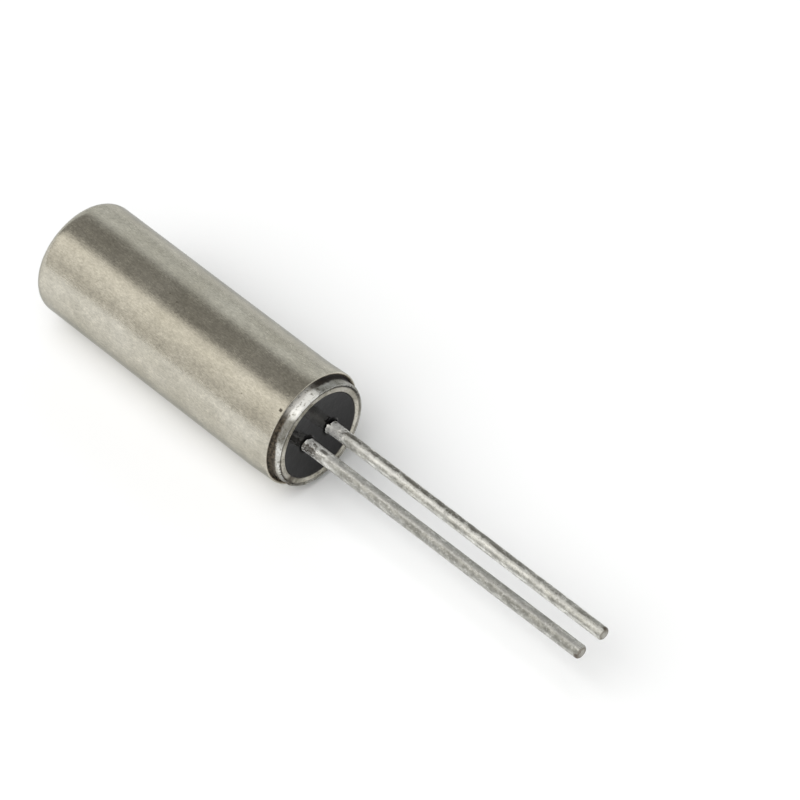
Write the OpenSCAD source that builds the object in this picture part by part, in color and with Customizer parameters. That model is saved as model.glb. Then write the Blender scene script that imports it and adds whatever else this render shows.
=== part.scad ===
// Tuning-fork quartz crystal in a cold-welded cylindrical metal can.
//
// The pieces are drawn along their common axis, +Z towards the lead tips, with the can's rim
// at z = 0. laid() then lays them down on the can's side: axis along +X, leads towards +X,
// the floor at z = 0 and the origin under the middle of the overall length.

/* [Can] */
// Outer diameter of the can
can_d = 3.1; // [2.6:0.05:3.6]
// Length of the can from its closed end to its rim
can_l = 8.3; // [7.6:0.1:11]
// Wall thickness of the can
can_wall = 0.12; // [0.08:0.01:0.16]
// Outer radius of the drawn corner at the closed end
can_corner_r = 0.35; // [0.25:0.01:0.5]
// How far the closed end bulges out at its middle
can_crown = 0.06; // [0.02:0.01:0.08]
// Width of the bevel inside the can's mouth
mouth_w = 0.05; // [0.04:0.01:0.08]
// Depth of the bevel inside the can's mouth
mouth_l = 0.12; // [0.08:0.01:0.2]

/* [Stem] */
// Length of the ring that sits inside the can
stem_depth = 1.1; // [0.8:0.05:1.4]
// How far the ring stands out of the can's rim
stem_proud = 0.315; // [0.2:0.005:0.4]
// Wall thickness of the ring
ring_wall = 0.245; // [0.2:0.005:0.32]
// Radius of the ring's outer shoulder
ring_shoulder_r = 0.07; // [0.04:0.01:0.08]
// Width of the ring's raised outer bead
ring_bead_w = 0.09; // [0.085:0.005:0.11]
// How far the ring's inner land lies below its bead
ring_land_drop = 0.015; // [0.01:0.005:0.025]
// Radius of the crease between the bead and the land
ring_crease_r = 0.02; // [0.015:0.005:0.025]
// Radius of the lip between the land and the glass
ring_lip_r = 0.03; // [0.02:0.005:0.05]
// How far the edge of the glass lies below the ring's bead
glass_drop = 0.04; // [0.04:0.005:0.08]
// How far the middle of the glass sinks below its edge
glass_dish = 0.04; // [0.02:0.01:0.1]
// Radius of the glass that climbs each lead
glass_climb_r = 0.08; // [0.05:0.01:0.14]

/* [Leads] */
// Diameter of each lead
lead_d = 0.36; // [0.26:0.01:0.42]
// Distance between the leads' centres
lead_pitch = 0.8; // [0.78:0.01:1.1]
// Length of each lead outside the can's rim
lead_l = 9.3; // [3:0.1:14]
// Length of each lead that stands inside the can, past the glass
post_l = 1.3; // [0.9:0.05:1.5]
// Bevel on the cut ends of the leads
lead_bevel = 0.05; // [0.02:0.01:0.08]

/* [Quartz] */
// Overall length of the tuning fork
fork_l = 5.9; // [5:0.1:6]
// Width of each tine
tine_w = 0.56; // [0.45:0.01:0.62]
// Length of each tine
tine_l = 3.9; // [3:0.1:4]
// Width of the slot between the tines
slot_w = 0.16; // [0.1:0.01:0.24]
// Thickness of the quartz blade
fork_t = 0.25; // [0.15:0.01:0.35]
// Gap between the glass and the foot of the fork
fork_foot_gap = 0.25; // [0.15:0.05:0.4]
// Thickness of the solder between each post and the fork
solder_film = 0.03; // [0.02:0.005:0.05]
// Wall of solder round each post
solder_wall = 0.06; // [0.05:0.005:0.08]
// Length of each solder joint
solder_l = 0.7; // [0.5:0.05:0.8]

/* [Fits] */
// Clearance between pieces that are pressed or sealed together
seal_gap = 0.005; // [0.004:0.001:0.01]

/* [Hidden] */
$fn = 96;

can_r = can_d / 2;
can_bore_r = can_r - can_wall;
ring_r = can_bore_r - seal_gap;
ring_bore_r = ring_r - ring_wall;
glass_r = ring_bore_r - seal_gap;
ring_land_z = stem_proud - ring_land_drop;
ring_crease_x = ring_r - ring_bead_w;
glass_edge_z = stem_proud - glass_drop;
glass_floor_z = glass_edge_z - glass_dish;
glass_dish_r = (glass_r * glass_r + glass_dish * glass_dish) / (2 * glass_dish);
lead_r = lead_d / 2;
lead_hole_r = lead_r + seal_gap;
lead_offset = lead_pitch / 2;
post_tip_z = -stem_depth - post_l;
fork_w = 2 * tine_w + slot_w;
fork_foot_z = -stem_depth - fork_foot_gap;
fork_tip_z = fork_foot_z - fork_l;
fork_face = lead_r + solder_film;
fork_base_l = fork_l - tine_l;
solder_r = lead_r + solder_wall;
solder_tip_z = post_tip_z - solder_wall;
// The can's revolve starts at its side, away from the line that it lies on.
seam_turn = 90;
// How far a cutting shape reaches past what it cuts.
cut = 1;

// Lays the upright crystal down on its side, centred on its overall length.
module laid() {
    translate([(can_l - lead_l) / 2, 0, can_r])
        rotate([0, 90, 0])
            children();
}

// Half outline of a closed cup: radius r, length l below z = 0, corner radius c and a crowned
// end. The crown's circle, of radius big_r, touches the corner's circle on the line that joins
// their centres.
module cup_outline(r, l, c) {
    corner_x = r - c;
    corner_y = c - l + can_crown;
    big_r = c + (corner_x * corner_x + can_crown * can_crown) / (2 * can_crown);
    big_y = big_r - l;
    reach = (l + cut) / (big_y - corner_y);
    translate([0, corner_y])
        square([r, -corner_y]);
    translate([corner_x, corner_y])
        circle(c);
    intersection() {
        translate([0, big_y])
            circle(big_r, $fn = 720);
        polygon([[0, corner_y], [corner_x, corner_y],
                 [corner_x * (1 + reach), corner_y - reach * (big_y - corner_y)],
                 [0, corner_y - reach * (big_y - corner_y)]]);
    }
}

// Drawn metal can: a crowned closed end, a plain side, and a mouth that is bevelled inside and
// rounded over at its thin lip.
module can() {
    lip_r = (can_wall - mouth_w) / 2;
    color([0.74, 0.72, 0.66])
        rotate([0, 0, seam_turn])
            rotate_extrude() {
                difference() {
                    cup_outline(can_r, can_l, can_corner_r);
                    cup_outline(can_bore_r, can_l - can_wall, can_corner_r - can_wall);
                    polygon([[can_bore_r, -mouth_l], [can_r - 2 * lip_r, -lip_r],
                             [can_r + cut, -lip_r], [can_r + cut, cut], [can_bore_r, cut]]);
                }
                translate([can_r - lip_r, -lip_r])
                    circle(lip_r);
            }
}

// Plated ring of the stem, pressed into the can: a plain wall, and at its open end a rounded
// outer bead, a crease, and a land that ends in a small lip at the glass.
module stem_ring() {
    color([0.82, 0.81, 0.77])
        rotate_extrude()
            difference() {
                union() {
                    translate([ring_bore_r, -stem_depth])
                        square([ring_wall, stem_depth + stem_proud - ring_shoulder_r]);
                    translate([ring_crease_x, 0])
                        square([ring_bead_w - ring_shoulder_r, stem_proud]);
                    translate([ring_r - ring_shoulder_r, stem_proud - ring_shoulder_r])
                        circle(ring_shoulder_r);
                    translate([ring_bore_r + ring_lip_r, 0])
                        square([ring_crease_x - ring_bore_r - ring_lip_r, ring_land_z]);
                    translate([ring_bore_r, 0])
                        square([ring_lip_r, ring_land_z - ring_lip_r]);
                    translate([ring_bore_r + ring_lip_r, ring_land_z - ring_lip_r])
                        circle(ring_lip_r);
                }
                translate([ring_crease_x, ring_land_z])
                    circle(ring_crease_r);
            }
}

// One lead along its own axis: cut square at both ends, with a small bevel.
module lead() {
    length = lead_l - post_tip_z;
    color([0.80, 0.80, 0.78])
        translate([0, 0, post_tip_z]) {
            cylinder(h = lead_bevel, r1 = lead_r - lead_bevel, r2 = lead_r);
            translate([0, 0, lead_bevel])
                cylinder(h = length - 2 * lead_bevel, r = lead_r);
            translate([0, 0, length - lead_bevel])
                cylinder(h = lead_bevel, r1 = lead_r, r2 = lead_r - lead_bevel);
        }
}

// Puts a piece on the axis of one lead: side is -1 for lead_a and 1 for lead_b.
module on_lead(side) {
    translate([0, side * lead_offset, 0])
        children();
}

// Black glass that seals the leads into the ring: dished outside, and climbing each lead.
module glass_seal() {
    climb_r = lead_r + glass_climb_r;
    color([0.10, 0.10, 0.11])
        difference() {
            union() {
                rotate_extrude()
                    difference() {
                        translate([0, -stem_depth])
                            square([glass_r, stem_depth + glass_edge_z]);
                        translate([0, glass_floor_z + glass_dish_r])
                            circle(glass_dish_r, $fn = 720);
                    }
                for (side = [-1, 1])
                    on_lead(side)
                        rotate_extrude()
                            difference() {
                                translate([0, glass_floor_z - glass_climb_r])
                                    square([climb_r, 2 * glass_climb_r]);
                                translate([climb_r, glass_floor_z + glass_climb_r])
                                    circle(glass_climb_r);
                            }
            }
            for (side = [-1, 1])
                on_lead(side)
                    translate([0, 0, -stem_depth - cut])
                        cylinder(h = stem_depth + stem_proud + 2 * cut, r = lead_hole_r);
        }
}

// Quartz blade with two tines, soldered by its foot to the lower side of both posts, so that the
// crystal comes to rest with the blade below its axis.
module tuning_fork() {
    slot_end_x = fork_base_l + slot_w / 2;
    color([0.88, 0.90, 0.92])
        translate([fork_face, 0, fork_foot_z])
            rotate([0, 90, 0])
                linear_extrude(fork_t)
                    difference() {
                        translate([0, -fork_w / 2])
                            square([fork_l, fork_w]);
                        translate([slot_end_x, -slot_w / 2])
                            square([fork_l, slot_w]);
                        translate([slot_end_x, 0])
                            circle(slot_w / 2);
                    }
}

// Solder round one post, from just past its tip back along the fork's foot, with a flat foot of
// its own against the quartz.
module solder(side) {
    bevel = solder_wall / 2;
    color([0.70, 0.70, 0.69])
        on_lead(side)
            difference() {
                translate([0, 0, solder_tip_z]) {
                    cylinder(h = bevel, r1 = solder_r - bevel, r2 = solder_r);
                    translate([0, 0, bevel])
                        cylinder(h = solder_l - bevel, r = solder_r);
                    translate([0, -solder_r, bevel])
                        cube([fork_face, 2 * solder_r, solder_l - bevel]);
                }
                translate([0, 0, post_tip_z - seal_gap])
                    cylinder(h = post_l + stem_depth, r = lead_hole_r);
                translate([fork_face, -cut, fork_tip_z])
                    cube([cut, 2 * cut, fork_l]);
            }
}

laid() can();
laid() stem_ring();
laid() glass_seal();
laid() on_lead(-1) lead();  // lead_a
laid() on_lead(1) lead();  // lead_b
laid() tuning_fork();
laid() solder(-1);  // solder_a
laid() solder(1);  // solder_b
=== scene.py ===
"""Looks of a small cylindrical quartz crystal: nickel can, tinned ring, black glass, two leads.

The crystal lies on a pale floor with its axis along X and its leads towards +X. The can, the
ring and the leads are turned from outlines of (x, radius) points, and the glass is a dished
disc. Their finishes are node materials. Lengths are in millimetres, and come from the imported
frame or are named below. A side is an angle round the X direction, from +Y towards +Z: names
that end in SIDE are in degrees, and names that end in ANGLE are in radians.
"""
import math
import bpy
import bmesh
from mathutils import Matrix, Vector, noise


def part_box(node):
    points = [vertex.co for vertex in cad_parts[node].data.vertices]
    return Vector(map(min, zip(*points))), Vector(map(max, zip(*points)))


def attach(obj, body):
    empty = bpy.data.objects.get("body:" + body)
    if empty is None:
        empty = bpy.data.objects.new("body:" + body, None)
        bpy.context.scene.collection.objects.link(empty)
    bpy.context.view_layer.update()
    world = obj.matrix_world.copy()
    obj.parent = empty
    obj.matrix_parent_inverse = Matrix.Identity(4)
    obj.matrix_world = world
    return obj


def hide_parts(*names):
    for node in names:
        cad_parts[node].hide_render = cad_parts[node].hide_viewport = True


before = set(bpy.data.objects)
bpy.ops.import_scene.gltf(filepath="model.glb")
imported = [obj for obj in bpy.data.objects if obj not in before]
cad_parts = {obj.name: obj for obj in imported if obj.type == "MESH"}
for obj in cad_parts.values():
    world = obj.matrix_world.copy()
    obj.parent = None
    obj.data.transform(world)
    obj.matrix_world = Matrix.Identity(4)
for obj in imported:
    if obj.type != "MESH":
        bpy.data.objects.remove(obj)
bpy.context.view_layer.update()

MM = 0.001
TAU = 2 * math.pi

# ---- sizes ------------------------------------------------------------------------------------


def box_mm(name):
    """Lowest and highest corner of a CAD node, in millimetres."""
    low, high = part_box(name)
    return Vector(low) / MM, Vector(high) / MM


def radius_of(low, high):
    """Radius of a round node that lies along X, from the corners of its box."""
    return min(high.y - low.y, high.z - low.z) / 2


CAN_LOW, CAN_HIGH = box_mm("can")
RING_LOW, RING_HIGH = box_mm("stem_ring")
GLASS_LOW, GLASS_HIGH = box_mm("glass_seal")
LEAD_LOW, LEAD_HIGH = box_mm("lead_a")

AXIS_Z = (CAN_LOW.z + CAN_HIGH.z) / 2
CAN_SIDES = 360
CAN_R = radius_of(CAN_LOW, CAN_HIGH)
CAN_END_X = CAN_LOW.x
RIM_X = CAN_HIGH.x
CAN_WALL = 0.12
CAN_CORNER_R = 0.35
CAN_CROWN = 0.06
MOUTH_W = 0.05
MOUTH_L = 0.12
LIP_R = (CAN_WALL - MOUTH_W) / 2

RING_SIDES = 720
RING_R = radius_of(RING_LOW, RING_HIGH)
RING_TOP_X = RING_HIGH.x
RING_IN_X = RING_LOW.x
RING_WALL = 0.245
RING_BORE_R = RING_R - RING_WALL
RING_SHOULDER_R = 0.050
RING_BEAD_W = 0.080
RING_LAND_DROP = 0.015
RING_CREASE_R = 0.02
RING_LIP_R = 0.03

# Fillet of residue in the seam. Its underside runs from RESIDUE_DEPTH below the can's rim, on the
# ring's wall, to RESIDUE_START below it, at the can. Its hollow face climbs to RESIDUE_TOP over
# the rim. The gap keeps it clear of the can.
RESIDUE_DEPTH = 0.055
RESIDUE_START = RESIDUE_DEPTH - 0.015
RESIDUE_TOP = 0.05
RESIDUE_GAP = 0.004
RESIDUE_HOLLOW = 1.6
RESIDUE_STEPS = 8
# How high over the rim its brown stain and painted shade reach up the ring, and how much higher
# on its high side.
STAIN_AND_SHADE_HEIGHT = 0.10
STAIN_AND_SHADE_RISE = 0.075

# Small damage: a nick across the ring's bead, with painted shade in it a little to one side, and a
# dark speck in the can's wall, close behind the rim. The spread of the nick is in degrees.
NICK_SIDE = 213.0
NICK_SPREAD = 4.5
NICK_DEPTH = 0.045
NICK_SHADE_SIDE = NICK_SIDE + 2.5
SPECK_SIDE = 125.5
SPECK_DEPTH = 0.085
SPECK_EDGE = (0.030, 0.055)

# Grime with painted shade of the seam in the can's mouth: heights over the rim between which it
# sets in, and radii between which it ends on the lip.
GRIME_AND_SHADE_START = (-0.10, -0.06)
GRIME_AND_SHADE_END_R = (CAN_R - 0.050, CAN_R - 0.020)

GLASS_RINGS = 110
GLASS_SIDES = 300
GLASS_R = radius_of(GLASS_LOW, GLASS_HIGH)
GLASS_IN_X = GLASS_LOW.x
GLASS_EDGE_X = RING_TOP_X - 0.03
GLASS_DISH = 0.04
GLASS_CLIMB_R = 0.08
# Painted shadow on the glass round each lead: darkest up to the first distance from a lead's
# surface, and none from the second.
ROOT_SHADOW_EDGE = (0.015, 0.10)

LEAD_SIDES = 96
LEAD_R = (LEAD_HIGH.z - LEAD_LOW.z) / 2
LEAD_TIP_X = LEAD_HIGH.x
POST_TIP_X = LEAD_LOW.x
LEAD_TIP_ROUND = 0.07
LEAD_ROOT_X = RING_TOP_X - 0.08
# Height and spread of the lump of tin at each root.
ROOT_BLOB = 0.028
ROOT_BLOB_L = 0.075
LEAD_Y = {name: sum(c.y for c in box_mm(name)) / 2 for name in ("lead_a", "lead_b")}

# The stem was pressed in very slightly askew: it leans, so that it stands out most on one side,
# and it has pushed the mouth of the can towards the other, over the last stretch of the can.
ASKEW_ANGLE = math.radians(2.0)
PROUD_ANGLE = math.radians(214.0)
PUSH = 0.03
PUSH_ANGLE = math.radians(33.0)
ASKEW_L = 0.8

# How far each surface lies inside its nominal one, to leave room for its unevenness.
CAN_INSET = 0.0022
RING_INSET = 0.004
RING_WALL_INSET = 0.001
LEAD_INSET = 0.003
# The slow and the fine waves of each surface: height, and how fine along X and round it.
CAN_WAVES = ((0.0016, 0.35, 1.3), (0.0005, 1.6, 5.0))
RING_WAVES = ((0.0045, 6.0, 5.5), (0.0022, 14.0, 16.0))
LEAD_SLOW_WAVE = (0.0018, 1.3, 0.9)
LEAD_FINE_WAVE = (0.0008, 7.0, 2.6)
# How much higher a lead's fine waves get on the lump at its root, as a share of its height.
BLOB_ROUGHNESS = 0.35

# Each lead: how far it is pushed over at its root and at its tip, what its tin adds to its
# radius, and what its cut end adds to its length.
LEAD_PUSH = {"lead_a": (0.015, 0.048), "lead_b": (0.014, 0.016)}
LEAD_COAT = {"lead_a": 0.003, "lead_b": -0.007}
LEAD_EXTRA = {"lead_a": 0.045, "lead_b": 0.02}

# The tin of each lead: how bright it is, the strength and side of its painted highlight and of
# its painted dark reflection, and its side of painted shade. Between CHANGE_FROM_X and CHANGE_TO_X
# the highlight and the dark reflection fade a little, and the painted shade goes from its first
# strength to its second.
LEAD_SHADE = {"lead_a": 0.60, "lead_b": 0.88}
WIRE_HIGHLIGHT_LEVEL = {"lead_a": 0.36, "lead_b": 0.50}
WIRE_HIGHLIGHT_SIDE = {"lead_a": 103.0, "lead_b": 117.0}
DARK_REFLECTION_LEVEL = {"lead_a": 0.30, "lead_b": 0.85}
DARK_REFLECTION_SIDE = {"lead_a": 86.0, "lead_b": 76.0}
WIRE_SHADE_LEVEL = {"lead_a": (0.55, 1.0), "lead_b": (0.25, 0.65)}
WIRE_SHADE_SIDE = {"lead_a": 143.0, "lead_b": 131.0}
CHANGE_FROM_X = LEAD_TIP_X - 5.0
CHANGE_TO_X = LEAD_TIP_X - 0.8

# Marks near the roots: where the bright frosted root, painted bright also as a highlight, starts
# to fade and where it ends, where the bare brown patch starts, how sharply, where it ends, and its
# side, and the painted shade of a dimple in one lead.
FROST_AND_HIGHLIGHT_FADE_X = LEAD_ROOT_X + 0.26
FROST_AND_HIGHLIGHT_END_X = {"lead_a": LEAD_ROOT_X + 1.15, "lead_b": LEAD_ROOT_X + 0.65}
BARE_START_X = {"lead_a": LEAD_ROOT_X, "lead_b": LEAD_ROOT_X + 0.46}
BARE_FADE = 0.06
BARE_END_X = (LEAD_ROOT_X + 0.45, LEAD_ROOT_X + 0.80)
BARE_SIDE = {"lead_a": 152.0, "lead_b": 80.0}
DIMPLED = "lead_a"
DIMPLE_X = LEAD_ROOT_X + 0.64
DIMPLE_EDGE = (0.09, 0.17)
DIMPLE_SIDE = 92.0

# Marks at the cut tips, by how far behind the cut they set in or fade: the bare core, and a
# smudge round part of the edge.
CORE_START = (0.030, 0.008)
SMUDGE_START = (0.11, 0.06)
SMUDGE_END = (0.020, 0.004)
SMUDGE_SIDE = {"lead_a": 195.0, "lead_b": 50.0}

# Sides of the ring: where a painted highlight lies, where a fainter painted sheen lies, the one
# that lies away from both and has painted sheen too, where the residue and its painted shade
# reach highest, and where the painted shadow in the seam is darkest.
RING_HIGHLIGHT_SIDE = 107.0
RING_SHEEN_SIDE = 174.0
FAR_SIDE = 305.0
HIGH_STAIN_AND_SHADE_SIDE = 196.0
SEAM_SHADOW_SIDE = 52.0
# Radii between which the ring's finish changes: where the warmer land ends, where the bead
# starts, and where the dark oxide at the glass ends. Then how far the painted shade lies from the
# middle of the crease, the heights over the rim above which a point is on the ring's top, and the
# heights between which the residue's stain and its painted shade end.
LAND_EDGE = (RING_R - 0.100, RING_R - 0.075)
BEAD_EDGE = (RING_R - 0.065, RING_R - 0.045)
OXIDE_EDGE = (RING_BORE_R + 0.004, RING_BORE_R + 0.024)
CREASE_EDGE = (0.015, 0.040)
RING_TOP_EDGE = (0.22, 0.24)
STAIN_AND_SHADE_EDGE = (STAIN_AND_SHADE_HEIGHT - 0.020, STAIN_AND_SHADE_HEIGHT + 0.024)

# ---- outlines and meshes ------------------------------------------------------------------------


def arc(x, r, radius, start, end, steps):
    """Points of an arc about (x, r). Angles are in degrees from the +x direction to +r."""
    turns = [math.radians(start + (end - start) * i / steps) for i in range(steps + 1)]
    return [(x + radius * math.cos(t), r + radius * math.sin(t)) for t in turns]


def line(x0, r0, x1, r1, steps):
    """Points of a straight stretch, without its first point."""
    return [(x0 + (x1 - x0) * i / steps, r0 + (r1 - r0) * i / steps)
            for i in range(1, steps + 1)]


def skin(bm, rows):
    """Joins each row of points to the next with a band of faces."""
    for first, second in zip(rows, rows[1:]):
        for i in range(len(first)):
            j = (i + 1) % len(first)
            bm.faces.new((first[i], first[j], second[j], second[i]))


def cap(bm, row, tip):
    """Closes a row of points with a fan of faces about a tip."""
    for i in range(len(row)):
        bm.faces.new((tip, row[i], row[(i + 1) % len(row)]))


def finished(name, bm):
    """Object with a smooth surface from the faces that were built."""
    bmesh.ops.recalc_face_normals(bm, faces=bm.faces)
    for face in bm.faces:
        face.smooth = True
    mesh = bpy.data.meshes.new(name)
    bm.to_mesh(mesh)
    bm.free()
    piece = bpy.data.objects.new(name, mesh)
    bpy.context.collection.objects.link(piece)
    return piece


def turned(name, outline, sides, wobble, y=0.0, closed=False):
    """Turns an outline about the line along X at (y, AXIS_Z), and returns the object.

    A closed outline makes a ring. An open one starts and ends on the line. wobble(x, r, angle)
    gives how far each point moves outwards.
    """
    bm = bmesh.new()

    def place(x, r, angle):
        return bm.verts.new((x * MM, (y + r * math.cos(angle)) * MM,
                             (AXIS_Z + r * math.sin(angle)) * MM))

    angles = [TAU * i / sides for i in range(sides)]
    rows = [[place(x, r + wobble(x, r, angle), angle) for angle in angles]
            for x, r in (outline if closed else outline[1:-1])]
    skin(bm, rows + rows[:1] if closed else rows)
    if not closed:
        for row, x in ((rows[0], outline[0][0]), (rows[-1], outline[-1][0])):
            cap(bm, row, place(x, 0.0, 0.0))
    return finished(name, bm)


def cup_outline(r, end_x, corner):
    """From the middle of the crowned end out to the start of the straight side."""
    corner_r = r - corner
    corner_x = end_x + corner + CAN_CROWN
    big_r = corner + (corner_r ** 2 + CAN_CROWN ** 2) / (2 * CAN_CROWN)
    spread = math.degrees(math.asin(corner_r / (big_r - corner)))
    crown = arc(end_x + big_r, 0.0, big_r, 180.0, 180.0 - spread, 14)
    return crown + arc(corner_x, corner_r, corner, 180.0 - spread, 90.0, 16)[1:]


def can_outline():
    """Outside from the closed end to the rim, over the lip, and back along the inside."""
    outside = cup_outline(CAN_R, CAN_END_X, CAN_CORNER_R)
    inside = cup_outline(CAN_R - CAN_WALL, CAN_END_X + CAN_WALL, CAN_CORNER_R - CAN_WALL)
    lip_x = RIM_X - LIP_R
    side = line(outside[-1][0], CAN_R, lip_x, CAN_R, 110)
    lip = arc(lip_x, CAN_R - LIP_R, LIP_R, 90.0, -90.0, 12)[1:]
    mouth = line(lip_x, CAN_R - 2 * LIP_R, RIM_X - MOUTH_L, CAN_R - CAN_WALL, 4)
    bore = line(RIM_X - MOUTH_L, CAN_R - CAN_WALL, inside[-1][0], CAN_R - CAN_WALL, 8)
    return outside + side + lip + mouth + bore + inside[::-1][1:]


def residue_outline():
    """Hollow fillet of residue that fills the seam from the can's mouth to the ring's wall."""
    width = CAN_R - 2 * LIP_R - RESIDUE_GAP - RING_R
    points = []
    for i in range(RESIDUE_STEPS + 1):
        share = i / RESIDUE_STEPS
        rise = (RESIDUE_TOP + RESIDUE_START) * share ** RESIDUE_HOLLOW
        points.append((RIM_X - RESIDUE_START + rise,
                       RING_R + width * (1 - share) ** RESIDUE_HOLLOW))
    return points


def ring_outline():
    """Closed outline of the stem's ring: wall, shoulder, crease, land, lip and bore."""
    land_x = RING_TOP_X - RING_LAND_DROP
    crease_r = RING_R - RING_BEAD_W
    shoulder_x = RING_TOP_X - RING_SHOULDER_R
    wall = [(RING_IN_X, RING_R), (RIM_X - RESIDUE_DEPTH, RING_R)]
    wall += residue_outline()
    wall += line(*wall[-1], shoulder_x, RING_R, 12)
    shoulder = arc(shoulder_x, RING_R - RING_SHOULDER_R, RING_SHOULDER_R, 90.0, 0.0, 12)[1:]
    bead = [(RING_TOP_X, crease_r + RING_CREASE_R)]
    crease = arc(land_x, crease_r, RING_CREASE_R, 90.0, 270.0, 8)
    land = line(land_x, crease_r - RING_CREASE_R, land_x, RING_BORE_R + RING_LIP_R, 8)
    lip = arc(land_x - RING_LIP_R, RING_BORE_R + RING_LIP_R, RING_LIP_R, 0.0, -90.0, 8)[1:]
    bore = line(land_x - RING_LIP_R, RING_BORE_R, RING_IN_X, RING_BORE_R, 8)
    return wall + shoulder + bead + crease + land + lip + bore


def lead_outline():
    """Straight wire from its bevelled inner end to its cut tip with a rounded edge."""
    flat_r = LEAD_R - LEAD_TIP_ROUND
    start = [(POST_TIP_X, 0.0), (POST_TIP_X, flat_r), (POST_TIP_X + LEAD_TIP_ROUND, LEAD_R)]
    inside = line(POST_TIP_X + LEAD_TIP_ROUND, LEAD_R, LEAD_ROOT_X, LEAD_R, 10)
    outside = line(LEAD_ROOT_X, LEAD_R, LEAD_TIP_X - LEAD_TIP_ROUND, LEAD_R, 400)
    tip = arc(LEAD_TIP_X - LEAD_TIP_ROUND, flat_r, LEAD_TIP_ROUND, 90.0, 0.0, 8)[1:]
    return start + inside + outside + tip + [(LEAD_TIP_X, 0.5 * flat_r), (LEAD_TIP_X, 0.0)]


def glass_height(y, z):
    """X of the glass surface: dished, and climbing each lead. y and z are from the axis."""
    r = math.hypot(y, z)
    x = GLASS_EDGE_X - GLASS_DISH * (1 - (r / GLASS_R) ** 2)
    for lead_y in LEAD_Y.values():
        away = math.hypot(y - lead_y, z) - LEAD_R
        if away < GLASS_CLIMB_R:
            inside = max(away, 0.0) - GLASS_CLIMB_R
            x += GLASS_CLIMB_R - math.sqrt(max(GLASS_CLIMB_R ** 2 - inside ** 2, 0.0))
    return x


def glass_mesh(name):
    """Disc of black glass with its dished face, closed by a plain wall and back."""
    bm = bmesh.new()

    def place(y, z, x):
        return bm.verts.new((x * MM, y * MM, (AXIS_Z + z) * MM))

    angles = [TAU * i / GLASS_SIDES for i in range(GLASS_SIDES)]
    rows = []
    for k in range(1, GLASS_RINGS + 1):
        r = GLASS_R * k / GLASS_RINGS
        spots = [(r * math.cos(t), r * math.sin(t)) for t in angles]
        rows.append([place(y, z, glass_height(y, z)) for y, z in spots])
    back = [place(y, z, GLASS_IN_X) for y, z in spots]
    skin(bm, rows + [back])
    cap(bm, rows[0], place(0.0, 0.0, glass_height(0.0, 0.0)))
    cap(bm, back, place(0.0, 0.0, GLASS_IN_X))
    return finished(name, bm)


# ---- unevenness of the real metal ---------------------------------------------------------------


def near_mouth(x):
    """Rises smoothly from 0 inside the can to 1 at its rim and beyond."""
    share = min(max((x - RIM_X) / ASKEW_L + 1.0, 0.0), 1.0)
    return share * share * (3 - 2 * share)


def set_askew(piece):
    """Leans and pushes the mouth and the stem, the way that the stem was pressed in."""
    for vertex in piece.data.vertices:
        x, y, z = (c / MM for c in vertex.co)
        share = near_mouth(x)
        out = y * math.cos(PROUD_ANGLE) + (z - AXIS_Z) * math.sin(PROUD_ANGLE)
        vertex.co.x += math.tan(ASKEW_ANGLE) * out * share * MM
        vertex.co.y += PUSH * math.cos(PUSH_ANGLE) * share * MM
        vertex.co.z += PUSH * math.sin(PUSH_ANGLE) * share * MM
    return piece


def push_lead(piece, at_root, at_tip, extra):
    """Bends a wire over, by at_root at the rim and at_tip at its cut end, and draws it longer."""
    for vertex in piece.data.vertices:
        x = vertex.co.x / MM
        share = max((x - RIM_X) / (LEAD_TIP_X - RIM_X), 0.0)
        push = at_root * near_mouth(x) + (at_tip - at_root) * share
        vertex.co.x += extra * share * MM
        vertex.co.y += push * math.cos(PUSH_ANGLE) * MM
        vertex.co.z += push * math.sin(PUSH_ANGLE) * MM
    return piece


def wave(x, angle, height, along, around, seed=0.0):
    """Noise of a given height on a turned piece, and of given fineness along X and round it."""
    spot = Vector((x * along + seed, around * math.cos(angle), around * math.sin(angle)))
    return height * noise.noise(spot)


def can_wobble(x, r, angle):
    """Drawn metal is never quite round: low waves round and along it."""
    return sum((wave(x, angle, *size) for size in CAN_WAVES), -CAN_INSET)


def ring_wobble(x, r, angle):
    """Tin that froze unevenly on the ring, only where the ring shows, and the nick in its bead."""
    if x < RIM_X - RESIDUE_DEPTH + 0.001:
        return -RING_WALL_INSET
    nick = 0.0
    if r > RING_R - RING_BEAD_W:
        off_nick = (angle - math.radians(NICK_SIDE)) / math.radians(NICK_SPREAD)
        nick = NICK_DEPTH * math.exp(-off_nick ** 2)
    return sum((wave(x, angle, *size) for size in RING_WAVES), -RING_INSET) - nick


def lead_wobble_for(seed, coat):
    """Hot-dipped tin on a wire: slow swells, and a lump where the wire leaves the glass."""
    def wobble(x, r, angle):
        if r < 0.5 * LEAD_R:
            return 0.0
        lump = ROOT_BLOB * math.exp(-((x - LEAD_ROOT_X) / ROOT_BLOB_L) ** 2)
        height, *fineness = LEAD_FINE_WAVE
        slow = wave(x, angle, *LEAD_SLOW_WAVE, seed)
        fine = wave(x, angle, height + BLOB_ROUGHNESS * lump, *fineness, seed)
        return coat - LEAD_INSET + slow + fine + lump
    return wobble


# ---- materials ----------------------------------------------------------------------------------
#
# Numbers without a name are the scale, detail and roughness of a noise, its thresholds, the
# degrees within which and beyond which a sector holds, the share of a mix, the depth and
# strength of a bump, or how metallic or how rough a finish is.


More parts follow.
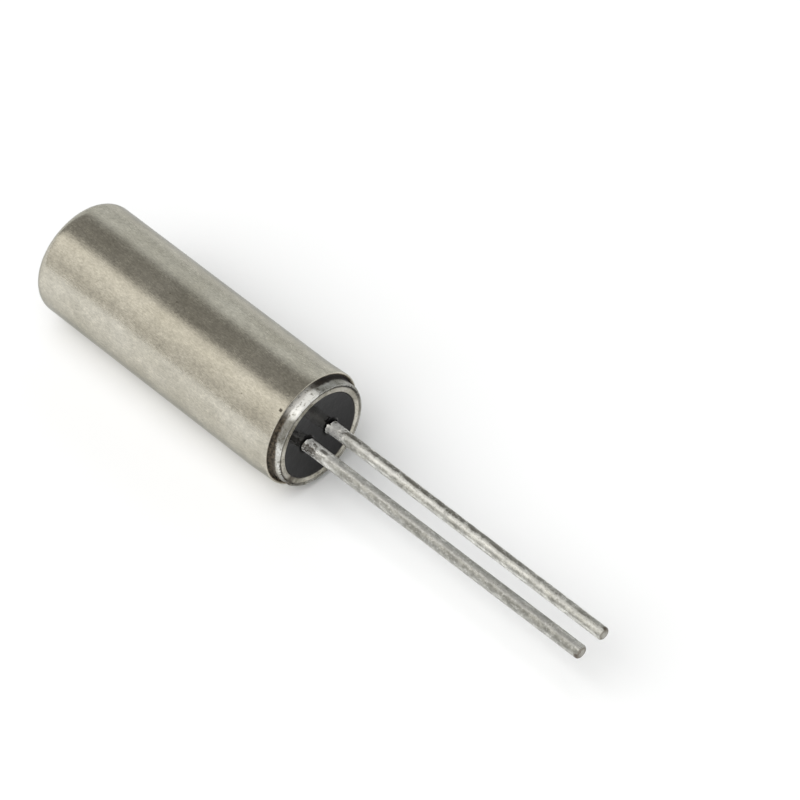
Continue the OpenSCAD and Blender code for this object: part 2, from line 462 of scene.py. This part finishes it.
class Nodes:
    """Shorthands for building a node tree."""

    def __init__(self, tree):
        self.tree = tree

    def add(self, kind, **values):
        """New node with the given settings."""
        made = self.tree.nodes.new(kind)
        for key, value in values.items():
            setattr(made, key, value)
        return made

    def feed(self, socket, value):
        """Gives a socket a number, a colour or what another node puts out."""
        if isinstance(value, bpy.types.NodeSocket):
            self.tree.links.new(value, socket)
        elif isinstance(value, tuple):
            socket.default_value = (*value, 1.0)
        else:
            socket.default_value = value

    def maths(self, operation, *values):
        """Result of a sum on one or two values."""
        made = self.add("ShaderNodeMath", operation=operation)
        for socket, value in zip(made.inputs, values):
            self.feed(socket, value)
        return made.outputs["Value"]

    def plus(self, first, second):
        return self.maths("ADD", first, second)

    def minus(self, first, second):
        return self.maths("SUBTRACT", first, second)

    def times(self, first, second):
        return self.maths("MULTIPLY", first, second)

    def most(self, first, second):
        return self.maths("MAXIMUM", first, second)

    def absolute(self, value):
        return self.maths("ABSOLUTE", value)

    def span(self, source, low, high, from_low=0.0, from_high=1.0):
        """Maps a value from one range to another, held at both ends."""
        made = self.add("ShaderNodeMapRange")
        for key, value in (("Value", source), ("From Min", from_low), ("From Max", from_high),
                           ("To Min", low), ("To Max", high)):
            self.feed(made.inputs[key], value)
        return made.outputs["Result"]

    def rises(self, source, start, end):
        """0 up to the start, 1 from the end on."""
        return self.span(source, 0.0, 1.0, start, end)

    def falls(self, source, start, end):
        """1 up to the start, 0 from the end on."""
        return self.span(source, 1.0, 0.0, start, end)

    def ramp(self, source, stops):
        """Colour ramp from (position, grey or colour) stops."""
        made = self.add("ShaderNodeValToRGB")
        elements = made.color_ramp.elements
        while len(elements) < len(stops):
            elements.new(0.5)
        for element, (position, colour) in zip(elements, stops):
            element.position = position
            if not isinstance(colour, tuple):
                colour = (colour, colour, colour)
            element.color = (*colour, 1.0)
        self.feed(made.inputs["Fac"], source)
        return made.outputs["Color"]


class Look(Nodes):
    """A node material. Textures are laid out in millimetres, and a seed shifts its noises."""

    def __init__(self, name, seed=0):
        self.material = bpy.data.materials.new(name)
        self.material.use_nodes = True
        super().__init__(self.material.node_tree)
        self.shader = self.tree.nodes["Principled BSDF"]
        self.shift = (7.3 * seed, 2.1 * seed, 0.0)
        coordinates = self.add("ShaderNodeTexCoord")
        mapping = self.add("ShaderNodeMapping")
        mapping.inputs["Scale"].default_value = (1 / MM, 1 / MM, 1 / MM)
        self.feed(mapping.inputs["Vector"], coordinates.outputs["Object"])
        self.place = mapping.outputs["Vector"]

    def set(self, **values):
        """Feeds inputs of the shader, with _ for the spaces in their names."""
        for key, value in values.items():
            self.feed(self.shader.inputs[key.replace("_", " ")], value)

    def noise(self, scale, detail, roughness, along=1.0):
        """Noise of about `scale` blobs a millimetre, drawn out along X where along is under 1."""
        mapping = self.add("ShaderNodeMapping")
        mapping.inputs["Location"].default_value = self.shift
        mapping.inputs["Scale"].default_value = (along, 1.0, 1.0)
        self.feed(mapping.inputs["Vector"], self.place)
        made = self.add("ShaderNodeTexNoise")
        for key, value in (("Vector", mapping.outputs["Vector"]), ("Scale", scale),
                           ("Detail", detail), ("Roughness", roughness)):
            self.feed(made.inputs[key], value)
        return made.outputs["Fac"]

    def below(self, source, full, none):
        """1 where the source is under full, falling to 0 at none."""
        return self.ramp(source, [(0.0, 1.0), (full, 1.0), (none, 0.0)])

    def mix(self, share, first, second, blend="MIX"):
        """Mixes two colours by a share."""
        made = self.add("ShaderNodeMix", data_type="RGBA", blend_type=blend)
        for socket, value in ((made.inputs[0], share), (made.inputs[6], first),
                              (made.inputs[7], second)):
            self.feed(socket, value)
        return made.outputs[2]

    def tint(self, colour, by):
        """Multiplies a colour by another colour or a grey."""
        return self.mix(1.0, colour, by, "MULTIPLY")

    def bump(self, height, distance_mm, strength, under=None):
        """Bump of the given depth, laid over an earlier one."""
        made = self.add("ShaderNodeBump")
        for key, value in (("Strength", strength), ("Distance", distance_mm * MM),
                           ("Height", height)):
            self.feed(made.inputs[key], value)
        if under is not None:
            self.feed(made.inputs["Normal"], under)
        return made.outputs["Normal"]

    def parts(self):
        """X, and Y and Z from the can's axis."""
        made = self.add("ShaderNodeSeparateXYZ")
        self.feed(made.inputs["Vector"], self.place)
        return made.outputs["X"], made.outputs["Y"], self.minus(made.outputs["Z"], AXIS_Z)

    def towards(self, y, up, angle):
        """How far a point reaches towards the given angle."""
        return self.plus(self.times(y, math.cos(angle)), self.times(up, math.sin(angle)))

    def reach(self, y, up):
        """Distance of a point from the X direction."""
        return self.maths("SQRT", self.plus(self.times(y, y), self.times(up, up)))

    def mouth(self):
        """Height over the leaning rim, distance from its axis, and Y and Z from its axis."""
        x, y, up = self.parts()
        y = self.minus(y, PUSH * math.cos(PUSH_ANGLE))
        up = self.minus(up, PUSH * math.sin(PUSH_ANGLE))
        lean = self.times(self.towards(y, up, PROUD_ANGLE), math.tan(ASKEW_ANGLE))
        height = self.minus(self.minus(x, RIM_X), lean)
        return height, self.reach(y, up), y, up

    def sector(self, y, up, side, inner, outer):
        """1 within inner degrees of a side, falling to 0 at outer degrees from it."""
        facing = self.maths("DIVIDE", self.towards(y, up, math.radians(side)),
                            self.reach(y, up))
        return self.rises(facing, math.cos(math.radians(outer)), math.cos(math.radians(inner)))


# Range that most of a noise lies in, and its middle.
MOST_OF_NOISE = (0.3, 0.7)
MIDDLE = 0.5

# Colours in linear light. TONES are the stops of a ramp, over a noise or, for the core, over
# the distance from its middle. GLANCE is a metal's colour at a glancing angle. WARMTH, the
# wires' painted shade and the tones of the grain and the stains are factors.
NICKEL_TONES = [(0.30, (0.550, 0.520, 0.440)), (0.70, (0.645, 0.615, 0.535))]
NICKEL_GRAIN_TONES = [(0.30, 0.74), (0.70, 1.12)]
NICKEL_STAIN_TONES = [(0.30, 0.88), (0.70, 1.08)]
NICKEL_GLANCE = (0.52, 0.53, 0.53)
NICKEL_PIT = (0.20, 0.18, 0.14)
SPECK = (0.05, 0.040, 0.028)
# The next tones are grime with painted shade of the seam.
GRIME_AND_SHADE_TONES = [(0.35, (0.10, 0.082, 0.058)), (0.60, (0.32, 0.275, 0.210))]

PLATE_TONES = [(0.30, (0.50, 0.49, 0.43)), (0.48, (0.76, 0.75, 0.69)),
               (0.66, (0.97, 0.97, 0.94))]
PLATE_GLANCE = (0.75, 0.74, 0.72)
PLATE_PIT = (0.16, 0.145, 0.115)
# The next colour is the painted highlight on the ring's bead.
RING_HIGHLIGHT = (0.80, 0.80, 0.78)
LAND_WARMTH = (1.34, 1.29, 1.20)
# The next two colours are the brown residue with painted shade in the seam, and the painted shadow
# where the seam is darkest.
RESIDUE_AND_SHADE_TONES = [(0.40, (0.018, 0.014, 0.010)), (0.62, (0.115, 0.094, 0.067))]
SEAM_SHADOW = (0.016, 0.013, 0.011)
OXIDE = (0.05, 0.047, 0.045)

WIRE_TONES = [(0.30, (0.50, 0.495, 0.455)), (0.50, (0.68, 0.675, 0.635)),
              (0.70, (0.86, 0.86, 0.83))]
WIRE_GLANCE = (0.60, 0.60, 0.58)
WIRE_PIT = (0.16, 0.15, 0.12)
# The next colour is bright tin, and also the painted highlight on the wires.
BRIGHT_TIN_AND_HIGHLIGHT = (0.97, 0.97, 0.95)
# The next two are a painted dark reflection and a painted shade on the wires.
WIRE_DARK_REFLECTION = (0.085, 0.080, 0.066)
WIRE_SHADE = (0.70, 0.70, 0.68)
# The next colour is painted shade in crevices of the root.
CREVICE_SHADE = (0.13, 0.115, 0.090)
BARE_PATCH = (0.10, 0.085, 0.065)
# The next colour is painted shade in a dimple.
DIMPLE_SHADE = (0.11, 0.10, 0.085)
CORE_TONES = [(0.35, (0.40, 0.385, 0.350)), (0.70, (0.20, 0.180, 0.150))]
SMUDGE = (0.085, 0.065, 0.048)

GLASS_TONES = [(0.30, (0.003, 0.003, 0.003)), (0.72, (0.009, 0.008, 0.009))]
# The next colour is painted shadow round the leads.
PAINTED_ROOT_SHADOW = (0.001, 0.001, 0.001)
QUARTZ_TONES = [(0.3, (0.70, 0.74, 0.76)), (0.7, (0.86, 0.88, 0.90))]
SOLDER_TONES = [(0.3, (0.42, 0.42, 0.41)), (0.7, (0.66, 0.66, 0.64))]


def nickel():
    """Satin nickel plate: fine grain, faint stains, a few pits, and grime with painted shade in
    the mouth.
    """
    look = Look("nickel_plate")
    height, r, y, up = look.mouth()
    grain = look.noise(24.0, 4.0, 0.65, along=0.45)
    stain = look.noise(5.0, 3.0, 0.6, along=0.8)
    blotch = look.noise(1.3, 4.0, 0.6, along=0.6)
    base = look.ramp(blotch, NICKEL_TONES)
    base = look.tint(base, look.ramp(grain, NICKEL_GRAIN_TONES))
    base = look.tint(base, look.ramp(stain, NICKEL_STAIN_TONES))
    pit = look.below(look.noise(9.0, 2.0, 0.4), 0.21, 0.25)
    base = look.mix(look.times(pit, 0.7), base, NICKEL_PIT)

    # The speck behind the rim.
    speck = look.times(look.sector(y, up, SPECK_SIDE, 0.9, 1.9),
                       look.falls(look.absolute(look.plus(height, SPECK_DEPTH)), *SPECK_EDGE))
    base = look.mix(look.times(speck, 0.9), base, SPECK)

    # Grime with painted shade of the seam in the mouth: from a little behind the rim on, and on
    # the inner half of the lip.
    grime_and_shade = look.times(look.rises(height, *GRIME_AND_SHADE_START), look.falls(r, *GRIME_AND_SHADE_END_R))
    base = look.mix(grime_and_shade, base, look.ramp(look.noise(6.0, 3.0, 0.6), GRIME_AND_SHADE_TONES))

    rough = look.plus(look.span(grain, 0.17, 0.25, *MOST_OF_NOISE),
                      look.span(stain, 0.0, 0.05, *MOST_OF_NOISE))
    normal = look.bump(grain, 0.0026, 0.6)
    normal = look.bump(look.noise(3.0, 2.0, 0.5, along=0.3), 0.004, 0.4, normal)
    look.set(Base_Color=base, Metallic=look.span(grime_and_shade, 1.0, 0.2),
             Roughness=look.plus(rough, look.times(grime_and_shade, 0.35)),
             IOR=1.5, Specular_Tint=NICKEL_GLANCE, Normal=normal)
    return look.material


def tin_plate():
    """Tin on the ring: dull and uneven, with painted highlight and sheen, brown residue with
    painted shade in the seam, and painted shade in the crease and the nick.
    """
    look = Look("tin_plate")
    height, r, y, up = look.mouth()
    blotch = look.noise(3.4, 4.0, 0.65)
    fine = look.noise(13.0, 3.0, 0.6)
    ragged = look.minus(blotch, MIDDLE)

    # The tin is dull, but for a painted highlight on one side of the bead, a fainter painted sheen
    # on another side of it, and painted sheen on the far side. The land inside the bead is lighter
    # and warmer.
    base = look.ramp(blotch, PLATE_TONES)
    painted_highlight = look.plus(look.sector(y, up, RING_HIGHLIGHT_SIDE, 8.0, 24.0), look.times(ragged, 0.8))
    painted_highlight = look.times(look.rises(painted_highlight, 0.2, 0.8), look.rises(r, *BEAD_EDGE))
    fair_sheen = look.times(look.sector(y, up, RING_SHEEN_SIDE, 14.0, 30.0),
                      look.span(r, 0.50, 0.76, *BEAD_EDGE))
    far = look.sector(y, up, FAR_SIDE, 60.0, 85.0)
    painted_sheen_level = look.most(look.most(painted_highlight, fair_sheen), look.times(far, 0.60))
    base = look.tint(base, look.most(painted_sheen_level, 0.38))
    base = look.mix(look.falls(r, *LAND_EDGE), base, look.tint(base, LAND_WARMTH))
    base = look.mix(look.times(painted_highlight, 0.9), base, RING_HIGHLIGHT)
    base = look.mix(look.times(look.below(fine, 0.36, 0.43), 0.70), base, PLATE_PIT)

    # The residue and its painted shade have a ragged upper edge, higher towards the proud side and
    # the one opposite. They are thin on the side of the painted highlight.
    proud = look.towards(y, up, PROUD_ANGLE)
    edge = look.plus(look.times(look.times(proud, proud), 0.020), look.times(ragged, 0.22))
    rough_edge = look.times(look.minus(fine, MIDDLE), 0.12)
    edge = look.plus(edge, rough_edge)
    edge = look.plus(edge, look.times(look.sector(y, up, HIGH_STAIN_AND_SHADE_SIDE, 22.0, 48.0),
                                      STAIN_AND_SHADE_RISE))
    residue_and_shade = look.falls(look.minus(height, edge), *STAIN_AND_SHADE_EDGE)
    residue_and_shade = look.times(residue_and_shade, look.span(look.sector(y, up, RING_HIGHLIGHT_SIDE, 10.0, 26.0),
                                            1.0, 0.5))

    # Painted shade in the crease, less of it on the far side, and in the nick.
    off_crease = look.absolute(look.plus(look.minus(r, RING_R - RING_BEAD_W), rough_edge))
    crease = look.times(look.falls(off_crease, *CREASE_EDGE),
                        look.span(fine, 1.0, 0.50, 0.42, 0.66))
    crease = look.times(crease, look.span(far, 1.0, 0.25))
    crease = look.times(crease, look.rises(height, *RING_TOP_EDGE))
    nick = look.times(look.sector(y, up, NICK_SHADE_SIDE, 2.5, 8.0), 0.9)
    residue_and_crease_shade = look.most(look.most(residue_and_shade, crease), nick)
    # The residue's brown with painted shade, and painted shadow darkest on one side of the seam.
    stain_and_shade_colour = look.mix(look.sector(y, up, SEAM_SHADOW_SIDE, 22.0, 44.0),
                     look.ramp(fine, RESIDUE_AND_SHADE_TONES), SEAM_SHADOW)
    base = look.mix(residue_and_crease_shade, base, stain_and_shade_colour)

    # Dark oxide on the lip, where the ring meets the glass.
    base = look.mix(look.times(look.falls(r, *OXIDE_EDGE), 0.9), base, OXIDE)

    # Less metallic under the painted highlight, and where the residue and the painted shade lie.
    metallic = look.minus(look.span(painted_highlight, 1.0, 0.35), look.times(residue_and_crease_shade, 0.75))
    normal = look.bump(look.noise(7.0, 3.0, 0.6), 0.014, 0.8)
    normal = look.bump(fine, 0.004, 0.6, normal)
    look.set(Base_Color=base, Metallic=look.most(metallic, 0.0),
             Roughness=look.plus(look.span(blotch, 0.28, 0.14, *MOST_OF_NOISE),
                                 look.times(residue_and_crease_shade, 0.30)),
             IOR=1.5, Specular_Tint=PLATE_GLANCE, Normal=normal)
    return look.material


def tinned_wire(lead, seed):
    """Hot-dipped tin on a wire: half matte, mottled, and frosted, painted bright and lumpy at its
    root.

    The tin has a painted highlight along one side, a painted dark reflection along another and
    painted shade along a third. Near the root a patch of it is missing, and the cut tip shows the
    bare core.
    """
    look = Look(lead + "_tin", seed)
    x, y, up = look.parts()
    push = look.span(x, *LEAD_PUSH[lead], RIM_X, LEAD_TIP_X)
    y = look.minus(look.minus(y, LEAD_Y[lead]), look.times(push, math.cos(PUSH_ANGLE)))
    up = look.minus(up, look.times(push, math.sin(PUSH_ANGLE)))
    blotch = look.noise(3.0, 4.0, 0.65, along=0.6)
    mottle = look.noise(9.0, 2.5, 0.55, along=0.5)
    fine = look.noise(20.0, 3.0, 0.6, along=0.8)
    uneven = look.minus(mottle, MIDDLE)
    coarse = look.minus(blotch, MIDDLE)
    grit = look.minus(fine, MIDDLE)

    # The mottled tin, with its painted highlight, its painted dark reflection and its painted
    # shade.
    base = look.ramp(blotch, WIRE_TONES)
    shade = LEAD_SHADE[lead]
    base = look.tint(base, look.span(mottle, 0.70 * shade, 1.24 * shade, 0.37, 0.63))
    outward = look.rises(x, CHANGE_FROM_X, CHANGE_TO_X)
    fade = look.span(outward, 1.0, 0.7)
    wire_highlight = look.minus(look.sector(y, up, WIRE_HIGHLIGHT_SIDE[lead], 4.0, 24.0), look.times(uneven, 2.6))
    wire_highlight = look.times(look.span(wire_highlight, 0.0, WIRE_HIGHLIGHT_LEVEL[lead], 0.25, 1.0), fade)
    base = look.mix(wire_highlight, base, BRIGHT_TIN_AND_HIGHLIGHT)
    dark_reflection = look.minus(look.sector(y, up, DARK_REFLECTION_SIDE[lead], 6.0, 30.0),
                      look.times(look.plus(uneven, coarse), 1.5))
    dark_reflection = look.times(look.span(dark_reflection, 0.0, DARK_REFLECTION_LEVEL[lead], 0.20, 0.85), fade)
    base = look.mix(dark_reflection, base, WIRE_DARK_REFLECTION)
    shaded_side = look.times(look.sector(y, up, WIRE_SHADE_SIDE[lead], 11.0, 33.0),
                      look.span(outward, *WIRE_SHADE_LEVEL[lead]))
    base = look.mix(shaded_side, base, look.tint(base, WIRE_SHADE))

    # Fine dark pits and bright grains all over it.
    base = look.mix(look.times(look.below(fine, 0.36, 0.43), 0.36), base, WIRE_PIT)
    base = look.mix(look.span(fine, 0.0, 0.28, 0.57, 0.66), base, BRIGHT_TIN_AND_HIGHLIGHT)

    # The frosted root, painted bright also as a highlight, with dark flecks of painted shade in
    # its crevices, the bare patch, and the painted shade of the dimple.
    root = look.falls(look.minus(x, look.times(uneven, 0.8)), FROST_AND_HIGHLIGHT_FADE_X, FROST_AND_HIGHLIGHT_END_X[lead])
    base = look.mix(root, base, BRIGHT_TIN_AND_HIGHLIGHT)
    crevice_shade = look.times(root, look.span(mottle, 0.85, 0.0, 0.36, 0.42))
    base = look.mix(crevice_shade, base, CREVICE_SHADE)
    bare = look.minus(look.sector(y, up, BARE_SIDE[lead], 8.0, 42.0),
                      look.times(look.plus(uneven, grit), 3.0))
    bare_x = BARE_START_X[lead]
    bare = look.times(bare, look.rises(x, bare_x - BARE_FADE, bare_x + BARE_FADE))
    bare = look.times(look.rises(bare, 0.35, 0.65), look.falls(x, *BARE_END_X))
    bare = look.times(bare, look.span(fine, 0.95, 0.55, 0.35, 0.65))
    base = look.mix(bare, base, BARE_PATCH)
    if lead == DIMPLED:
        off_dimple = look.absolute(look.minus(x, DIMPLE_X))
        dimple_shade = look.times(look.sector(y, up, DIMPLE_SIDE, 8.0, 17.0),
                            look.span(off_dimple, 0.85, 0.0, *DIMPLE_EDGE))
        base = look.mix(dimple_shade, base, DIMPLE_SHADE)

    # The bare core at the cut tip, and a smudge round part of its edge.
    def behind_tip(distances):
        return [LEAD_TIP_X + LEAD_EXTRA[lead] - distance for distance in distances]

    outwards = look.maths("DIVIDE", look.reach(y, up), LEAD_R)
    core = look.ramp(look.plus(outwards, uneven), CORE_TONES)
    base = look.mix(look.span(x, 0.0, 0.9, *behind_tip(CORE_START)), base, core)
    smudge = look.minus(look.sector(y, up, SMUDGE_SIDE[lead], 22.0, 48.0), uneven)
    smudge = look.times(look.span(smudge, 0.0, 0.85, 0.25, 0.75),
                        look.rises(x, *behind_tip(SMUDGE_START)))
    smudge = look.times(smudge, look.span(x, 1.0, 0.3, *behind_tip(SMUDGE_END)))
    base = look.mix(smudge, base, SMUDGE)

    matte = look.most(look.span(blotch, 0.55, 0.30, 0.35, 0.65), look.times(root, 0.15))
    normal = look.bump(look.noise(5.0, 3.0, 0.6, along=0.5), 0.010, 0.5)
    normal = look.bump(mottle, 0.010, 0.8, normal)
    normal = look.bump(look.times(root, look.noise(6.0, 2.0, 0.5)), 0.035, 0.9, normal)
    look.set(Base_Color=base, Metallic=look.minus(1.0, matte),
             Roughness=look.span(mottle, 0.40, 0.26, *MOST_OF_NOISE),
             IOR=1.5, Specular_Tint=WIRE_GLANCE, Normal=normal)
    return look.material


def black_glass():
    """Opaque black sealing glass with a slight skin, darkened by painted shadow where it climbs
    the leads.
    """
    look = Look("black_glass")
    _, y, up = look.parts()
    away = [look.reach(look.minus(y, lead_y), up) for lead_y in LEAD_Y.values()]
    clear = look.rises(look.maths("MINIMUM", *away), *(LEAD_R + edge for edge in ROOT_SHADOW_EDGE))
    cloud = look.noise(2.2, 4.0, 0.6)
    normal = look.bump(look.noise(4.0, 3.0, 0.6), 0.012, 0.5)
    normal = look.bump(look.noise(18.0, 2.0, 0.5), 0.002, 0.4, normal)
    # Painted shadow round the leads: a darker colour and, close to them, no reflection.
    look.set(Base_Color=look.mix(clear, PAINTED_ROOT_SHADOW, look.ramp(cloud, GLASS_TONES)), Metallic=0.0,
             Roughness=look.span(cloud, 0.06, 0.12, *MOST_OF_NOISE),
             IOR=1.52, Specular_IOR_Level=look.times(clear, 0.18), Normal=normal)
    return look.material


def quartz():
    """Lapped quartz blade, lightly frosted, with the gleam of its thin metal films."""
    look = Look("quartz_blade")
    haze = look.noise(6.0, 4.0, 0.6)
    look.set(Base_Color=look.ramp(haze, QUARTZ_TONES), Metallic=0.0,
             Roughness=look.span(haze, 0.18, 0.38, *MOST_OF_NOISE),
             IOR=1.55, Normal=look.bump(haze, 0.003, 0.4))
    return look.material


def solder():
    """Dull frosty solder."""
    look = Look("solder_joint")
    lump = look.noise(10.0, 4.0, 0.6)
    look.set(Base_Color=look.ramp(lump, SOLDER_TONES), Metallic=1.0,
             Roughness=look.span(lump, 0.30, 0.52, *MOST_OF_NOISE),
             Normal=look.bump(lump, 0.010, 0.6))
    return look.material


# ---- the pieces ---------------------------------------------------------------------------------


def dress(piece, material):
    """Gives a piece its only material."""
    piece.data.materials.clear()
    piece.data.materials.append(material)


def stand_for(piece, node, material):
    """Gives a piece its finish and its body, and hides the CAD node that it stands for."""
    dress(piece, material)
    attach(piece, "root")
    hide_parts(node)


shell = turned("can_shell", can_outline(), CAN_SIDES, can_wobble)
ring = turned("ring", ring_outline(), RING_SIDES, ring_wobble, closed=True)
stand_for(set_askew(shell), "can", nickel())
stand_for(set_askew(ring), "stem_ring", tin_plate())
stand_for(set_askew(glass_mesh("glass")), "glass_seal", black_glass())
for number, (lead, lead_y) in enumerate(LEAD_Y.items(), start=1):
    uneven_tin = lead_wobble_for(10.0 * number, LEAD_COAT[lead])
    wire = turned(lead + "_wire", lead_outline(), LEAD_SIDES, uneven_tin, y=lead_y)
    stand_for(push_lead(wire, *LEAD_PUSH[lead], LEAD_EXTRA[lead]), lead,
              tinned_wire(lead, number))
dress(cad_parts["tuning_fork"], quartz())
solder_look = solder()
for joint in ("solder_a", "solder_b"):
    dress(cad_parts[joint], solder_look)

# ---- camera, at the photo's viewing angle -------------------------------------------------------

SENSOR_MM = 36.0
LENS_MM = 225.0
CLIP_START_M = 0.001
# How far the axis is turned out of the picture's plane, and its slope in the picture.
AXIS_TILT = math.radians(29.0)
AXIS_SLOPE = math.radians(36.93)
# Where the middle of the can's rim lies from the camera: to its right, up and backwards.
RIM_FROM_CAMERA = Vector((-2.123, -0.703, -118.91))


def camera():
    """Camera without roll that sees the axis at the given slope and tilt to the picture."""
    azimuth = math.acos(math.cos(AXIS_TILT) * math.cos(AXIS_SLOPE))
    rise = math.asin(math.cos(AXIS_TILT) * math.sin(AXIS_SLOPE) / math.sin(azimuth))
    right = Vector((math.cos(azimuth), math.sin(azimuth), 0.0))
    back = Vector((math.sin(azimuth) * math.cos(rise), -math.cos(azimuth) * math.cos(rise),
                   math.sin(rise)))
    up = back.cross(right)
    basis = Matrix((right, up, back)).transposed()
    rim = Vector((RIM_X, 0.0, AXIS_Z))
    place = rim - basis @ RIM_FROM_CAMERA
    data = bpy.data.cameras.new("camera")
    data.lens = LENS_MM
    data.sensor_width = SENSOR_MM
    data.clip_start = CLIP_START_M
    made = bpy.data.objects.new("camera", data)
    bpy.context.collection.objects.link(made)
    made.matrix_world = Matrix.Translation(place * MM) @ basis.to_4x4()
    bpy.context.scene.camera = made


camera()

# ---- floor and light ----------------------------------------------------------------------------

FLOOR_SIZE_M = 0.6
FLOOR_COLOUR = (0.89, 0.90, 0.92, 1.0)
FLOOR_ROUGHNESS = 0.8


def floor():
    """Large pale floor without any gloss."""
    bpy.ops.mesh.primitive_plane_add(size=FLOOR_SIZE_M, location=(0.0, 0.0, 0.0))
    made = bpy.context.object
    made.name = "floor"
    material = bpy.data.materials.new("floor")
    material.use_nodes = True
    shader = material.node_tree.nodes["Principled BSDF"]
    shader.inputs["Base Color"].default_value = FLOOR_COLOUR
    shader.inputs["Roughness"].default_value = FLOOR_ROUGHNESS
    shader.inputs["Specular IOR Level"].default_value = 0.0
    made.data.materials.append(material)


# Brightness of the studio round the crystal's axis: degrees above the horizon behind it, over
# the top and down to the horizon in front of it, and the grey there. The light from behind, up
# to WARM_FROM degrees, has a cool tint, and the rest a warm one.
STUDIO = [(0, 0.70), (20, 0.73), (36, 0.80), (46, 0.66), (55, 0.28), (64, 0.26), (80, 0.32),
          (98, 0.27), (105, 0.45), (112, 1.06), (123, 1.12), (134, 1.03), (146, 0.92),
          (158, 0.76), (180, 0.70)]
HALF_TURN = 180
COOL_TINT = (0.98, 1.0, 0.985)
WARM_TINT = (1.0, 0.975, 0.915)
WARM_FROM = 50
STUDIO_LEVEL = 1.0


def studio():
    """World whose brightness depends only on the direction round the X axis."""
    world = bpy.data.worlds.new("studio")
    bpy.context.scene.world = world
    world.use_nodes = True
    nodes = Nodes(world.node_tree)
    coordinates = nodes.add("ShaderNodeTexCoord")
    parts = nodes.add("ShaderNodeSeparateXYZ")
    nodes.feed(parts.inputs["Vector"], coordinates.outputs["Generated"])
    angle = nodes.maths("ARCTAN2", parts.outputs["Z"], parts.outputs["Y"])
    stops = []
    for degrees, grey in STUDIO:
        tint = COOL_TINT if degrees < WARM_FROM else WARM_TINT
        stops.append((degrees / HALF_TURN, tuple(grey * c for c in tint)))
    background = world.node_tree.nodes["Background"]
    nodes.feed(background.inputs["Color"], nodes.ramp(nodes.rises(angle, 0.0, math.pi), stops))
    nodes.feed(background.inputs["Strength"], STUDIO_LEVEL)


def soft_light(name, place, size, power):
    """Large soft light that fills the floor and doesn't show in the metal, sized in metres."""
    data = bpy.data.lights.new(name, "AREA")
    data.shape = "DISK"
    data.size = size
    data.energy = power
    made = bpy.data.objects.new(name, data)
    bpy.context.collection.objects.link(made)
    made.location = place
    made.rotation_euler = Vector(place).to_track_quat("Z", "Y").to_euler()
    made.visible_glossy = False


floor()
studio()
soft_light("overhead", place=(-0.05, -0.14, 0.27), size=0.50, power=1.00)
bpy.context.scene.view_settings.view_transform = "Standard"
